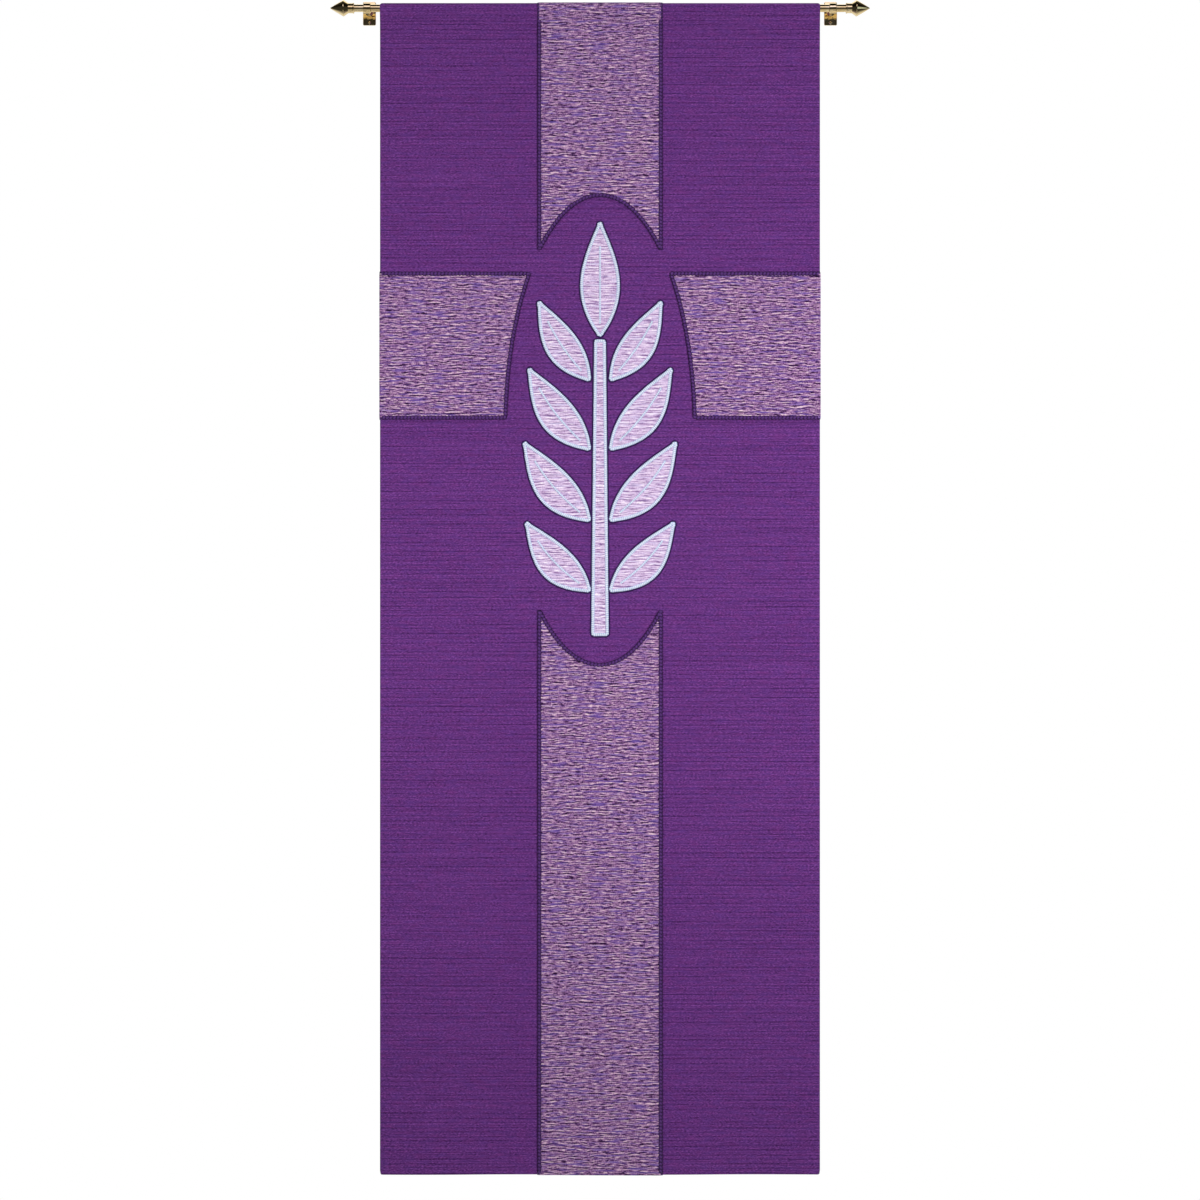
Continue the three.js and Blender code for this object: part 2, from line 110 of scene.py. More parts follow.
# Spacing of the fine cloth meshes.
CLOTH_STEP = 8 * MM
SLEEVE_STEP = 2.5 * MM
SLEEVE_TURN_STEP = math.radians(3)
SEWN_STEP = 6 * MM
STEM_COLUMNS = 7
LEAF_COLUMNS = 9

# Edges turned by more degrees than these are shown sharp.
SHARP_CLOTH = 50
SHARP_CORD = 80
SHARP_BRASS = 35

SIDES = {"left": -1, "right": 1}

# Camera: level and square to the cloth, far back.
LENS = 100.0
SENSOR = 36.0
VIEW_WIDTH = 2.4927
CAMERA_BELOW_TOP = 1.2402

camera = bpy.data.objects.new("camera", bpy.data.cameras.new("camera"))
bpy.context.scene.collection.objects.link(camera)
camera.data.lens = LENS
camera.data.sensor_width = SENSOR
camera.location = (0, ROD_Y + FACE_Y - VIEW_WIDTH * LENS / SENSOR, cloth_high.z - CAMERA_BELOW_TOP)
camera.rotation_euler = (math.radians(90), 0, 0)
bpy.context.scene.camera = camera


# Node materials.
def rgb(red, green, blue):
    """A colour of 0 to 255 screen values, as linear light."""
    screen = np.array((red, green, blue)) / 255
    linear = np.where(screen <= 0.04045, screen / 12.92, ((screen + 0.055) / 1.055) ** 2.4)
    return (*linear.tolist(), 1.0)


class Shade:
    """A node material that is built a node at a time."""

    def __init__(self, name):
        self.material = bpy.data.materials.new(name)
        self.material.use_nodes = True
        self.tree = self.material.node_tree
        self.surface = self.tree.nodes["Principled BSDF"]

    def put(self, socket, value):
        if isinstance(value, bpy.types.NodeSocket):
            self.tree.links.new(value, socket)
        else:
            socket.default_value = value

    def add(self, kind, inputs, **settings):
        node = self.tree.nodes.new("ShaderNode" + kind)
        for name, value in settings.items():
            setattr(node, name, value)
        for key, value in inputs.items():
            self.put(node.inputs[key], value)
        return node

    def finish(self, **sockets):
        for name, value in sockets.items():
            self.put(self.surface.inputs[name.replace("_", " ")], value)
        return self.material

    def attribute(self, name):
        return self.add("Attribute", {}, attribute_name=name).outputs["Vector"]

    def math(self, operation, *values):
        return self.add("Math", dict(enumerate(values)), operation=operation).outputs[0]

    def parts(self, vector):
        return self.add("SeparateXYZ", {0: vector}).outputs

    def noise(self, vector, per_metre, detail, roughness=0.5, shift=(0.0, 0.0)):
        """Noise with its own number of features a metre along each axis of the vector."""
        mapping = {"Vector": vector, "Location": (*shift, 0), "Scale": per_metre}
        placed = self.add("Mapping", mapping).outputs[0]
        inputs = {"Vector": placed, "Scale": 1.0, "Detail": detail, "Roughness": roughness}
        return self.add("TexNoise", inputs).outputs[0]

    def mixed(self, *weighted):
        """The middle value 0.5 plus each noise's departure from it times its weight."""
        total = 0.5
        for noise, weight in weighted:
            departure = self.math("SUBTRACT", noise, 0.5)
            total = self.math("MULTIPLY_ADD", departure, weight, total)
        return total

    def ramp(self, value, *stops):
        node = self.add("ValToRGB", {0: value})
        elements = node.color_ramp.elements
        while len(elements) < len(stops):
            elements.new(0.5)
        for element, (position, colour) in zip(elements, stops):
            element.position = position
            element.color = colour
        return node.outputs[0]

    def blend(self, share, first, second):
        """A mix of two colours. Sockets 6 and 7 take them, and socket 2 gives the result."""
        inputs = {0: share, 6: first, 7: second}
        return self.add("Mix", inputs, data_type="RGBA").outputs[2]

    def bump(self, height, depth, strength):
        inputs = {"Height": height, "Distance": depth, "Strength": strength}
        return self.add("Bump", inputs).outputs[0]

    def span(self, value, low, high):
        """The value taken from low..high to 0..1."""
        inputs = {"Value": value, "From Min": low, "From Max": high}
        return self.add("MapRange", inputs).outputs[0]

    def woven(self, vector, noises):
        """The named noises of a weave."""
        return {
            name: self.noise(vector, (*per_metre, 1), detail, shift=shift)
            for name, (per_metre, detail, shift) in noises.items()
        }

    def staggered(self, weave, across):
        """Places across the cloth, each row set off from the next so that no columns show."""
        stagger = self.woven(weave, STAGGER_NOISE)["stagger"]
        return self.math("MULTIPLY_ADD", stagger, STAGGER, across)


# Each noise of a weave: features a metre across and along, fineness of detail, and a shift of its own.
STAGGER_NOISE = {"stagger": ((5, 60), 1, (0.9, 7.3))}
STAGGER = 60 * MM

# Ribs of the purple cloth: pitch and depth of the painted shade in their grooves, how they wander, and
# how uneven the grooves are.
RIBS = ((6.3 * MM, 0.16), (9.5 * MM, 0.19))
RIB_BEND = 5
RIB_VALLEY = (-0.5, -0.97)
RIB_UNEVEN = (0.2, 0.7)
PURPLE_ROWS = {
    "rows": ((1.3, 520), 0, (0, 0)),
    "wander": ((2.5, 45), 1, (2.6, 8.8)),
    "depth": ((6, 330), 0, (9.4, 6.1)),
}
PURPLE_FLECKS = {
    "ticks": ((230, 400), 1, (7.7, 1.9)),
    "runs": ((24, 430), 0, (3.1, 0.7)),
    "patches": ((34, 150), 2, (5.9, 2.3)),
}
PURPLE_WEIGHTS = {"rows": 0.19, "runs": 0.2, "ticks": 1.0}
PURPLE_TONES = ((0.2, rgb(62, 30, 82)), (0.5, rgb(101, 52, 124)), (0.8, rgb(136, 75, 158)))

# Bluish and reddish patches of the purple: the noise they show in, their share and their colour.
PURPLE_TINTS = (((0.5, 0.75), 0.5, rgb(92, 54, 132)), ((0.48, 0.25), 0.45, rgb(114, 50, 122)))

# Slubs of the lavender and pale cloths: how many a metre along, their waves, and their painted shade
# and highlight.
SLUB_NOISE = {
    "wander": ((30, 70), 1, (4.4, 1.2)),
    "ticks": ((420, 300), 0, (1.7, 5.1)),
    "patches": ((24, 230), 1, (6.6, 0.4)),
}
SLUBS_ALONG = 270
SLUB_FINENESS = {"detail": 1.5, "roughness": 0.6}
SLUB_WAVE = 7 * MM
SLUB_PAINTED_SHADOW = (0.0, 0.45)
SLUB_PAINTED_LIGHT = 1.1
DASHES_A_SLUB = 3
DASHES_ALONG = 400
DASH_SHIFT = (8.2, 3.3)
SLUB_WEIGHTS = {"dashes": 0.95, "ticks": 0.35}
SLUB_PATCHES = (0.5, 0.7)

# Flecks of a cord: features a metre along it, a radian round it and a step of its painted light, and
# their weight.
CORD_FLECKS = (190, 1.4, 0.8)
FLECK_WEIGHT = 0.5

# Brass: clouds and rubbed streaks a metre.
BRASS_CLOUDS = (45, 45, 45)
BRASS_STREAKS = (60, 900, 900)


def purple_material():
    """Ribbed cloth: full-width grooves of uneven depth between ribs, darkened with painted shade,
    broken by fine warp ticks.
    """
    shade = Shade("purple_ribbed_cloth")
    weave = shade.attribute("weave")
    across, rise, _ = shade.parts(weave)
    offset = shade.add("CombineXYZ", {0: shade.staggered(weave, across), 1: rise}).outputs[0]
    noise = shade.woven(weave, PURPLE_ROWS) | shade.woven(offset, PURPLE_FLECKS)
    bend = shade.math("MULTIPLY", noise["wander"], RIB_BEND)
    tone = shade.mixed(*((noise[key], weight) for key, weight in PURPLE_WEIGHTS.items()))
    # Painted shade: each rib's groove darkens the tone by its depth.
    for pitch, groove_shade in RIBS:
        phase = shade.math("MULTIPLY_ADD", rise, 2 * math.pi / pitch, bend)
        valley = shade.span(shade.math("SINE", phase), *RIB_VALLEY)
        groove = shade.math("MULTIPLY", valley, shade.span(noise["depth"], *RIB_UNEVEN))
        tone = shade.math("MULTIPLY_ADD", groove, -groove_shade, tone)
    cloth = shade.ramp(tone, *PURPLE_TONES)
    for span, share, tint in PURPLE_TINTS:
        tinted = shade.math("MULTIPLY", shade.span(noise["patches"], *span), share)
        cloth = shade.blend(tinted, cloth, tint)
    return shade.finish(
        Base_Color=cloth,
        Roughness=0.85,
        Specular_IOR_Level=0.12,
        Sheen_Weight=0.03,
        Sheen_Roughness=0.5,
        Normal=shade.bump(tone, 0.8 * MM, 0.5),
    )


def slub_material(name, stops, patch_colour, patch_share, slubs_across):
    """Slub cloth: wavy dashes across a woven ground, each pale above and dark below as a painted
    highlight and painted shade.
    """
    shade = Shade(name)
    weave = shade.attribute("weave")
    across, along, _ = shade.parts(weave)
    noise = shade.woven(weave, SLUB_NOISE)
    wavy = shade.math("MULTIPLY_ADD", noise["wander"], SLUB_WAVE, along)
    bent = shade.add("CombineXYZ", {0: shade.staggered(weave, across), 1: wavy}).outputs[0]
    slubs = (slubs_across, SLUBS_ALONG, 1)
    upper = shade.noise(bent, slubs, **SLUB_FINENESS)
    lower = shade.noise(bent, slubs, shift=SLUB_PAINTED_SHADOW, **SLUB_FINENESS)
    dashes = ((DASHES_A_SLUB * slubs_across, DASHES_ALONG), 1, DASH_SHIFT)
    noise |= shade.woven(bent, {"dashes": dashes})
    # Painted light: the shifted noise less the plain one gives each slub a painted highlight on one
    # side and painted shade on the other, as if lit from above.
    slub_painted_light = shade.math("SUBTRACT", lower, upper)
    ground = shade.mixed(*((noise[key], weight) for key, weight in SLUB_WEIGHTS.items()))
    tone = shade.math("MULTIPLY_ADD", slub_painted_light, SLUB_PAINTED_LIGHT, ground)
    tinted = shade.math("MULTIPLY", shade.span(noise["patches"], *SLUB_PATCHES), patch_share)
    cloth = shade.blend(tinted, shade.ramp(tone, *stops), patch_colour)
    return shade.finish(
        Base_Color=cloth,
        Roughness=0.7,
        Specular_IOR_Level=0.2,
        Sheen_Weight=0.04,
        Sheen_Roughness=0.4,
        Normal=shade.bump(tone, 0.9 * MM, 0.5),
    )


def cord_material(name, groove, crest, filaments_per_metre):
    """Twisted thread with fine filaments across it, coloured with painted shade in the grooves and down
    the flanks and a painted highlight on the crests.
    """
    shade = Shade(name)
    thread = shade.attribute("thread")
    run, _, painted_light = shade.parts(thread)
    fleck = shade.noise(thread, CORD_FLECKS, detail=1)
    departure = shade.math("SUBTRACT", fleck, 0.5)
    shown = shade.math("MULTIPLY_ADD", departure, FLECK_WEIGHT, painted_light)
    colour = shade.ramp(shown, (0.1, groove), (0.95, crest))
    filaments = shade.math("SINE", shade.math("MULTIPLY", run, 2 * math.pi * filaments_per_metre))
    return shade.finish(
        Base_Color=colour,
        Roughness=0.55,
        Specular_IOR_Level=0.25,
        Normal=shade.bump(filaments, 0.12 * MM, 0.5),
    )


def brass_material():
    shade = Shade("polished_brass")
    position = shade.add("TexCoord", {}).outputs["Object"]
    cloud = shade.noise(position, BRASS_CLOUDS, detail=3)
    rub = shade.noise(position, BRASS_STREAKS, detail=1, shift=(2.2, 4.1))
    colour = shade.ramp(
        cloud, (0.3, rgb(220, 192, 134)), (0.55, rgb(234, 211, 160)), (0.75, rgb(243, 226, 186))
    )
    rubbed = {"Value": cloud, "From Min": 0.3, "From Max": 0.7, "To Min": 0.05, "To Max": 0.11}
    return shade.finish(
        Base_Color=colour,
        Metallic=1.0,
        Roughness=shade.add("MapRange", rubbed).outputs[0],
        Normal=shade.bump(rub, 0.01 * MM, 0.2),
    )


PURPLE = purple_material()
LAVENDER = slub_material(
    "lavender_slub_cloth",
    stops=(
        (0.28, rgb(36, 13, 46)),
        (0.4, rgb(101, 62, 115)),
        (0.52, rgb(148, 105, 153)),
        (0.66, rgb(188, 149, 183)),
        (0.82, rgb(228, 200, 212)),
    ),
    patch_colour=rgb(104, 78, 164),
    patch_share=0.75,
    slubs_across=33,
)
PALE = slub_material(
    "pale_lilac_slub_cloth",
    stops=(
        (0.24, rgb(122, 86, 142)),
        (0.38, rgb(182, 148, 195)),
        (0.52, rgb(212, 187, 222)),
        (0.64, rgb(232, 212, 237)),
        (0.8, rgb(252, 243, 252)),
    ),
    patch_colour=rgb(202, 194, 234),
    patch_share=0.4,
    slubs_across=18,
)
# Each cord's first colour is the painted shade of its grooves and flanks, its second the painted
# highlight on its crests.
VIOLET_CORD = cord_material("dark_violet_cord", rgb(26, 9, 40), rgb(90, 54, 120), 900)
ICE_CORD = cord_material("ice_blue_cord", rgb(132, 154, 214), rgb(236, 243, 252), 1400)
# The dark plum thread is painted shade: it runs just outside the ice-blue edging, where the raised edge
# meets the cloth.
SHADE_LINE_THREAD = cord_material("dark_plum_shade_line_thread", rgb(30, 14, 48), rgb(56, 28, 84), 900)
PURPLE_THREAD = cord_material("purple_sewing_thread", rgb(70, 36, 94), rgb(152, 104, 178), 1600)
BRASS = brass_material()


# Meshes.
def add_piece(name, points, faces, material, sharp_angle, **attributes):
    """A closed, smooth mesh that rides on the one body, with named point attributes."""
    points = np.asarray(points, float).reshape(-1, 3)
    mesh = bpy.data.meshes.new(name)
    mesh.from_pydata(points.tolist(), [], faces)
    mesh.shade_smooth()
    mesh.set_sharp_from_angle(angle=math.radians(sharp_angle))
    mesh.materials.append(material)
    for key, values in attributes.items():
        layer = mesh.attributes.new(key, "FLOAT_VECTOR", "POINT")
        layer.data.foreach_set("vector", np.asarray(values, np.float32).reshape(-1))
    piece = bpy.data.objects.new(name, mesh)
    bpy.context.scene.collection.objects.link(piece)
    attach(piece, "root")
    return piece


def tube_faces(rows, count, loop=False):
    """Quads between rings of equal length, with an open or a joined run of rings."""
    ring = np.arange(count)
    ahead = (ring + 1) % count
    steps = rows if loop else rows - 1
    first = (np.arange(steps) * count)[:, None]
    second = ((np.arange(steps) + 1) % rows * count)[:, None]
    quads = np.stack([first + ring, first + ahead, second + ahead, second + ring], -1)
    return quads.reshape(-1, 4).tolist()


def facing_out(points, faces):
    """The faces, turned over if they point into the solid."""
    corners = np.asarray(points, float).reshape(-1, 3)
    quads = np.array([face[:3] for face in faces if len(face) == 4])
    a, b, c = (corners[quads[:, k]] for k in range(3))
    centre = corners.mean(0)
    volume = np.einsum("ij,ij->i", a - centre, np.cross(b - centre, c - centre)).sum()
    return faces if volume > 0 else [face[::-1] for face in faces]


def sheet_faces(rows, count):
    """Faces of a thin sheet of rings that go along its face and back behind it, closed at both ends."""
    faces = tube_faces(rows, count)
    last = (rows - 1) * count
    for k in range(count // 2 - 1):
        facing = count - 1 - k
        faces.append([k, facing, facing - 1, k + 1])
        faces.append([last + k, last + k + 1, last + facing - 1, last + facing])
    return faces


def solid_faces(rows, count):
    """Faces of a tube of rings with both its ends closed."""
    last = (rows - 1) * count
    return tube_faces(rows, count) + [list(range(count))[::-1], list(range(last, last + count))]


def steps_between(start, end, step):
    return np.linspace(start, end, max(2, round(abs(end - start) / step) + 1))


# The hanging cloth's form.
def sleeve_table():
    """Run past the seam, place in (y, z) and outward direction along the sleeve's face."""
    reach = math.hypot(FACE_Y, SEAM_Z)
    tangent = math.atan2(SEAM_Z, FACE_Y) - math.acos(FACE_RADIUS / reach) + 2 * math.pi
    turn = 2 * tangent - math.pi
    angles = tangent - steps_between(0, turn, SLEEVE_TURN_STEP)
    over = FACE_RADIUS * np.column_stack([np.cos(angles), np.sin(angles)])
    front = np.array([[FACE_Y, SEAM_Z]])
    back = np.array([[-FACE_Y, SEAM_Z], [-FACE_Y, SEAM_Z - SLEEVE_FLAP]])
    places = np.vstack([front, over, back])
    run = np.concatenate([[0], np.cumsum(np.hypot(*np.diff(places, axis=0).T))])
    outward = np.vstack([over[:1], over, over[-1:], [[FACE_RADIUS, 0]]]) / FACE_RADIUS
    return run, places, outward


SLEEVE_RUN, SLEEVE_PLACES, SLEEVE_OUT = sleeve_table()
SLEEVE_END = SEAM_RISE + SLEEVE_RUN[-1]


def rise_of(drop):
    """A height above the banner's lower edge, from a distance below its top edge."""
    return CLOTH_HEIGHT - drop


def soft_step(value, width):
    share = np.clip(value / width, 0, 1)
    return share * share * (3 - 2 * share)


def stands_off(x, z):
    """How far the cloth stands behind its plane, from its soft swells and its doubled hems."""
    out = np.zeros(np.broadcast(x, z).shape)
    for across, reach, height in SWELLS:
        away = np.minimum(np.abs(x - across * MM) / (reach * MM), 1)
        out = out + height * MM * 0.5 * (1 + np.cos(np.pi * away))
    share_down = np.clip((SEAM_Z - z) / SEAM_RISE, 0, 1)
    side = soft_step(np.abs(x) - CLOTH_HALF + SIDE_HEM + HEM_SHOWS_OVER / 2, HEM_SHOWS_OVER)
    foot = soft_step(HEM_Z + FOOT_HEM + HEM_SHOWS_OVER / 2 - z, HEM_SHOWS_OVER)
    below_seam = soft_step(SEAM_Z - z, SLEEVE_DEPTH)
    return -out * share_down - HEM_SHOWS * np.maximum(side, foot) * below_seam


def face_at(rise):
    """Place and outward direction of the face in (y, z), for a rise above the lower edge.

    A rise under the hem's radius turns under the lower edge and goes up the back of the hem.
    """
    foot = HEM_Z + HEM_RADIUS
    turned = np.maximum(HEM_RADIUS - rise, 0)
    angle = np.minimum(turned / HEM_RADIUS, np.pi)
    y = FACE_Y + HEM_RADIUS * (1 - np.cos(angle))
    up_back = np.maximum(turned - np.pi * HEM_RADIUS, 0)
    z = np.where(rise < HEM_RADIUS, foot - HEM_RADIUS * np.sin(angle) + up_back, HEM_Z + rise)
    out_y, out_z = -np.cos(angle), -np.sin(angle)
    run = rise - SEAM_RISE
    on_sleeve = run > 0
    y = np.where(on_sleeve, np.interp(run, SLEEVE_RUN, SLEEVE_PLACES[:, 0]), y)
    z = np.where(on_sleeve, np.interp(run, SLEEVE_RUN, SLEEVE_PLACES[:, 1]), z)
    out_y = np.where(on_sleeve, np.interp(run, SLEEVE_RUN, SLEEVE_OUT[:, 0]), out_y)
    out_z = np.where(on_sleeve, np.interp(run, SLEEVE_RUN, SLEEVE_OUT[:, 1]), out_z)
    return y, z, out_y, out_z


def hang(x, rise, out, lower=0.0):
    """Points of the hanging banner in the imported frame, out from the face by a distance."""
    y, z, out_y, out_z = face_at(rise)
    z = z + out_z * out + lower
    y = y + out_y * out + stands_off(x, z)
    return np.stack(np.broadcast_arrays(x, ROD_Y + y, ROD_Z + z), -1)


def place(across, rise, offset):
    """Points off the face of the cloth. Past a side edge they turn round it and go in behind."""
    flat = CLOTH_HALF - HEM_RADIUS
    side = np.sign(across)
    turned = np.maximum(np.abs(across) - flat, 0)
    angle = np.minimum(turned / HEM_RADIUS, np.pi)
    behind = np.maximum(turned - np.pi * HEM_RADIUS, 0)
    radius = HEM_RADIUS + offset
    x = np.where(turned > 0, side * (flat + radius * np.sin(angle) - behind), across)
    out = np.where(turned > 0, radius * np.cos(angle) - HEM_RADIUS, offset)
    return hang(x, rise, out)


# The banner cloth. The first ring of its lower edge starts a share of a quarter turn round it.
EDGE_STEPS = 8
EDGE_CLEAR = 3 * HEM_RADIUS
FOOT_TURNS = 5
FOOT_TURN_START = 0.1


def cloth_depth(x, rise):
    """The cloth's depth behind its face, with the doubled cloth of the hems."""
    in_side_hem = (np.abs(x) >= CLOTH_HALF - SIDE_HEM) & (rise < HEM_TOP_RISE)
    return np.where(in_side_hem | (rise < FOOT_HEM), 2 * HEM_RADIUS, CLOTH_THICK)


def corner_inset(z):
    """How far the side edge draws in at the rounded corners of the banner."""
    to_end = min(FACE_RADIUS - z, z - HEM_Z, CORNER_RADIUS)
    inside = CORNER_RADIUS - max(to_end, 0)
    return CORNER_RADIUS - math.sqrt(CORNER_RADIUS**2 - inside**2)


def cloth_ring(rise, columns, closing=0.0):
    """A ring round the cloth at a rise. closing goes from 0 to 1 as the lower edge rounds shut."""
    on_face = max(rise, HEM_RADIUS)
    lower = min(rise - HEM_RADIUS, 0)
    flat = CLOTH_HALF - HEM_RADIUS - corner_inset(float(face_at(on_face)[1]) + lower)
    edge_depth = float(cloth_depth(CLOTH_HALF, rise))
    turns = np.linspace(0, np.pi, EDGE_STEPS + 1)
    edge_x = flat + HEM_RADIUS * np.sin(turns)
    edge_in = edge_depth / 2 * (1 - np.cos(turns))
    to_front = EDGE_STEPS // 2
    x = np.concatenate([
        -edge_x[to_front::-1], columns, edge_x, columns[::-1], -edge_x[:to_front:-1]
    ])
    depth = np.concatenate([
        edge_in[to_front::-1],
        np.zeros(len(columns)),
        edge_in,
        cloth_depth(columns[::-1], rise),
        edge_in[:to_front:-1],
    ])
    depth = depth + (edge_depth / 2 - depth) * closing
    weave = np.column_stack([x, np.full(len(x), rise), np.zeros(len(x))])
    return hang(x, np.full(len(x), on_face), -depth, lower), weave


def banner_cloth():
    inner = CLOTH_HALF - SIDE_HEM - HEM_STEP
    outer = steps_between(inner + HEM_STEP, CLOTH_HALF - EDGE_CLEAR, CLOTH_STEP)
    columns = np.concatenate([-outer[::-1], steps_between(-inner, inner, CLOTH_STEP), outer])
    turns = np.linspace(FOOT_TURN_START, 1, FOOT_TURNS) * np.pi / 2
    rings = [
        cloth_ring(HEM_RADIUS * (1 - math.cos(turn)), columns, 1 - math.sin(turn))
        for turn in turns
    ]
    rises = np.concatenate([
        steps_between(HEM_RADIUS, FOOT_HEM - HEM_STEP, CLOTH_STEP)[1:],
        steps_between(FOOT_HEM + HEM_STEP, HEM_TOP_RISE - HEM_STEP, CLOTH_STEP),
        steps_between(HEM_TOP_RISE, SEAM_RISE, CLOTH_STEP),
        steps_between(SEAM_RISE, SLEEVE_END, SLEEVE_STEP)[1:],
    ])
    rings += [cloth_ring(rise, columns) for rise in rises]
    points = np.array([ring for ring, _ in rings])
    weave = np.array([ring for _, ring in rings])
    faces = facing_out(points, sheet_faces(*points.shape[:2]))
    piece = add_piece("banner_sheet", points, faces, PURPLE, SHARP_CLOTH, weave=weave)
    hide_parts("banner_cloth")
    return piece


def sewn_sheet(name, node, across, rise, material):
    """A sheet sewn on the face over a grid of places across and rises."""
    front = place(across, rise, SEWN_TOP)
    back = place(across, rise, GAP)
    points = np.concatenate([front, back[:, ::-1]], 1)
    weave = np.stack([across, rise, np.zeros_like(rise)], -1)
    weave = np.concatenate([weave, weave[:, ::-1]], 1)
    faces = facing_out(points, sheet_faces(*points.shape[:2]))
    piece = add_piece(name, points, faces, material, SHARP_CLOTH, weave=weave)
    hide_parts(node)
    return piece


# Corded edges.
FEWEST_STEPS = 8


def resampled(path, step, closed):
    """Points at equal steps along a path of (across, rise), and the path's length."""
    path = np.vstack([path, path[:1]]) if closed else path
    run = np.concatenate([[0], np.cumsum(np.hypot(*np.diff(path, axis=0).T))])
    count = max(round(run[-1] / step), FEWEST_STEPS)
    targets = np.linspace(0, run[-1], count + 1)[: count if closed else count + 1]
    return np.column_stack([np.interp(targets, run, path[:, k]) for k in (0, 1)]), run[-1]


def rounded(path, step, closed, soften):
    """A path at equal steps with its corners rounded over a length."""
    path, _ = resampled(path, step, closed)
    reach = max(round(soften / step), 1)
    kernel = np.hanning(2 * reach + 3)[1:-1]
    kernel = kernel / kernel.sum()
    if closed:
        padded = np.vstack([path[-reach:], path, path[:reach]])
    else:
        padded = np.pad(path, ((reach, reach), (0, 0)), "reflect", reflect_type="odd")
    smooth = np.column_stack([np.convolve(padded[:, k], kernel, "valid") for k in (0, 1)])
    return resampled(smooth, step, closed)


def to_right(path, closed):
    """Unit directions to the right of a path."""
    if closed:
        ahead = np.roll(path, -1, 0) - np.roll(path, 1, 0)
    else:
        ahead = np.gradient(path, axis=0)
    ahead = ahead / np.hypot(*ahead.T)[:, None]
    return np.column_stack([ahead[:, 1], -ahead[:, 0]])


def outward_shift(path, distance):
    """A closed path moved out from what it encloses."""
    right = to_right(path, True)
    ahead = np.roll(path, -1, 0)
    enclosed = (path[:, 0] * ahead[:, 1] - path[:, 1] * ahead[:, 0]).sum()
    return path + right * distance * np.sign(enclosed)


# How far a cord's round goes on below its middle, as a share of a half turn.
CORD_UNDER = 0.12
GROOVE_POWER = 0.55
PRESSED_OVER = 7 * MM
PRESSED_TO = 0.25


def pressed(across, rise):
    """How much of a cord's height is left where it is pressed flat over an edge of the cloth."""
    to_side = CLOTH_HALF - HEM_RADIUS - np.abs(across)
    to_foot = rise - HEM_RADIUS
    to_sleeve = SEAM_RISE + SLEEVE_DEPTH / 2 - rise
    free = soft_step(np.minimum(np.minimum(to_side, to_foot), to_sleeve), PRESSED_OVER)
    return PRESSED_TO + (1 - PRESSED_TO) * free


def cord(name, path, closed, kind, material):
    """A twisted cord laid along a path on the banner's face, round above and flat beneath."""
    path, length = rounded(path, kind["step"], closed, kind["soften"])
    right = to_right(path, closed)
    count = len(path)
    run = np.arange(count) * length / (count if closed else count - 1)
    pitch = length / max(round(length / kind["pitch"]), 1)
    turn = np.linspace(-CORD_UNDER, 1 + CORD_UNDER, kind["sides"]) * np.pi
    phase = np.pi * run[:, None] / pitch - kind["slant"] * turn / 2
    crest = np.abs(np.cos(phase)) ** GROOVE_POWER
    full = 1 - kind["groove"] * (1 - crest)
    sideways = kind["half_width"] * full * np.cos(turn)
    round_above = np.sin(turn) + math.sin(np.pi * CORD_UNDER)
    left_high = pressed(path[:, :1], path[:, 1:])
    raised = kind["base"] + kind["height"] * full * round_above * left_high
    across = path[:, :1] + sideways * right[:, :1]
    rise = path[:, 1:] + sideways * right[:, 1:]
    points = place(across, rise, raised)
    # Painted light: the colour is lit on the twist's crests and fades to painted shade in its grooves
    # and down its flanks.
    painted_light = crest * np.maximum(np.sin(turn), 0) ** kind["painted_flank_shade"]
    thread = np.stack(np.broadcast_arrays(run[:, None], turn, painted_light), -1)
    faces = tube_faces(count, len(turn), True) if closed else solid_faces(count, len(turn))
    faces = facing_out(points, faces)
    piece = add_piece(name, points, faces, material, SHARP_CORD, thread=thread)
    return piece


# Cords: their sizes, the pitch, depth and slant of their twist, how much painted shade their flanks
# take, the step along them, the length that rounds their corners, and the sides of their section.
BORDER = {
    "half_width": 4.6 * MM,
    "height": 2.7 * MM,
    "base": 0.4 * MM,
    "pitch": 7.4 * MM,
    "groove": 0.46,
    "slant": 1.0,
    "painted_flank_shade": 1.8,
    "step": 1.1 * MM,
    "soften": 5 * MM,
    "sides": 11,
}
EDGING = {
    "half_width": 3.6 * MM,
    "height": 1.9 * MM,
    "base": 0.6 * MM,
    "pitch": 3.9 * MM,
    "groove": 0.34,
    "slant": 0.6,
    "painted_flank_shade": 0.6,
    "step": 0.75 * MM,
    "soften": 3 * MM,
    "sides": 9,
}
MIDRIB = EDGING | {"half_width": 2.2 * MM, "height": 1.2 * MM, "base": 1.3 * MM}
# A dark plum cord round each pale piece, just outside its edging, as painted shade along the raised
# edge.
SHADE_LINE_CORD = {
    "half_width": 1.7 * MM,
    "height": 0.7 * MM,
    "base": 0.1 * MM,
    "pitch": 3.2 * MM,
    "groove": 0.2,
    "slant": 1.0,
    "painted_flank_shade": 0.6,
    "step": 1.6 * MM,
    "soften": 4 * MM,
    "sides": 6,
}
SHADE_LINE_OUT = EDGING["half_width"] + 1.1 * MM


# The four arms of the cross.
def oval_half_height(across):
    return OVAL_HALF_HEIGHT * np.sqrt(1 - (across / OVAL_HALF_WIDTH) ** 2)


def oval_half_width(rise):
    return OVAL_HALF_WIDTH * np.sqrt(1 - ((rise - rise_of(OVAL_DROP)) / OVAL_HALF_HEIGHT) ** 2)


def border_path(across, rise):
    """Round three sides of an arm's grid: in along one edge, across its inner end and out again."""
    grid = np.stack([across, rise], -1)
    return np.vstack([grid[::-1, 0], grid[0, 1:-1], grid[:, -1]])


def arm(name, across, rise):
    sheet = sewn_sheet(
        f"cross_{name}_sheet", f"cross_arm_{name}", across, rise, LAVENDER
    )
    path = border_path(across, rise)
    border = cord(f"cross_{name}_border", path, False, BORDER, VIOLET_CORD)


